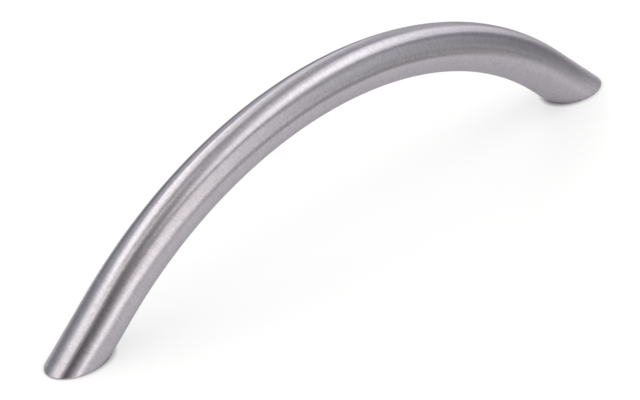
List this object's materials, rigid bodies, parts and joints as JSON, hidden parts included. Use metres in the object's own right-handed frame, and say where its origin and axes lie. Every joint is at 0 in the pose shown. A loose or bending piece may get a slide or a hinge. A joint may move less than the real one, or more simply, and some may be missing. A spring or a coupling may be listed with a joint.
{
  "type": "arched cabinet handle",
  "caption": "Arched round-bar pull handle in brushed stainless steel, cut flat at both feet with a blind tapped hole in each, for screws through a cabinet door.",
  "frame": {"origin": "on the door's plane, halfway between the two screw holes, which is the bottom centre of the bounding box", "axes": "+X from the left foot to the right foot, +Y across the bar and along the door, +Z straight away from the door towards the crown"},
  "size_m": [0.1798, 0.012, 0.044],
  "materials": {
    "steel": "satin, brushed round the bar"
  },
  "bodies": {
    "root": {"arched_handle": "steel"}
  },
  "joints": []
}
